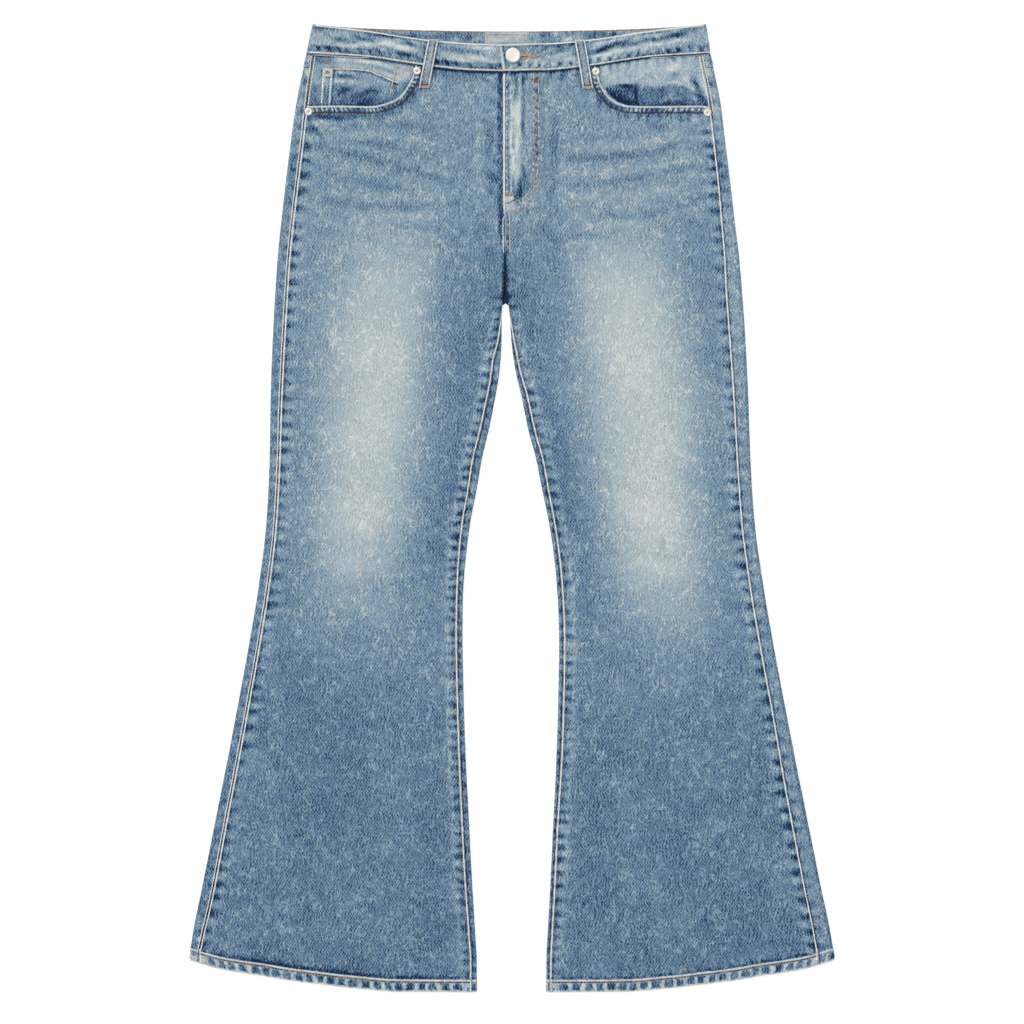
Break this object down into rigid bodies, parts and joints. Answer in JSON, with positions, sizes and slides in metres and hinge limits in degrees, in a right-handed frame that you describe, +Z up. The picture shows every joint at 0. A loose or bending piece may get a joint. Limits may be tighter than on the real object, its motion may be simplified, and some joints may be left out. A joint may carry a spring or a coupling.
{
  "type": "flared jeans",
  "caption": "High-waisted flared denim jeans laid flat, with curved front pockets, a coin pocket, back patch pockets, belt loops, a buttoned waistband and a closed fly.",
  "frame": {"origin": "on the surface the jeans lie on, under the middle of the outline", "axes": "+Y to the waist, +X to the wearer's left, +Z up out of the front of the jeans"},
  "size_m": [0.7234, 1.084, 0.0133],
  "materials": {
    "denim": "stone-washed mid-blue denim, faded at the thighs",
    "facing_denim": "darker, less worn denim",
    "label_cloth": "pale plain woven label",
    "zip_tape": "plain dark tape",
    "pale_metal": "pale silvery, matt"
  },
  "bodies": {
    "root": {"front_panel_right": "denim", "front_panel_left": "denim", "back_panel_right": "denim", "back_panel_left": "denim", "back_yoke_right": "denim", "back_yoke_left": "denim", "back_pocket_right": "denim", "back_pocket_left": "denim", "pocket_facing_right": "facing_denim", "pocket_facing_left": "facing_denim", "coin_pocket": "denim", "waistband": "denim", "belt_loop_front_right": "denim", "belt_loop_front_left": "denim", "belt_loop_back_right": "denim", "belt_loop_back_centre": "denim", "belt_loop_back_left": "denim", "fly_zip": "zip_tape", "waist_label": "label_cloth", "waist_button": "pale_metal", "rivet_right_inner": "pale_metal", "rivet_right_outer": "pale_metal", "rivet_left_inner": "pale_metal", "rivet_left_outer": "pale_metal"}
  },
  "joints": []
}
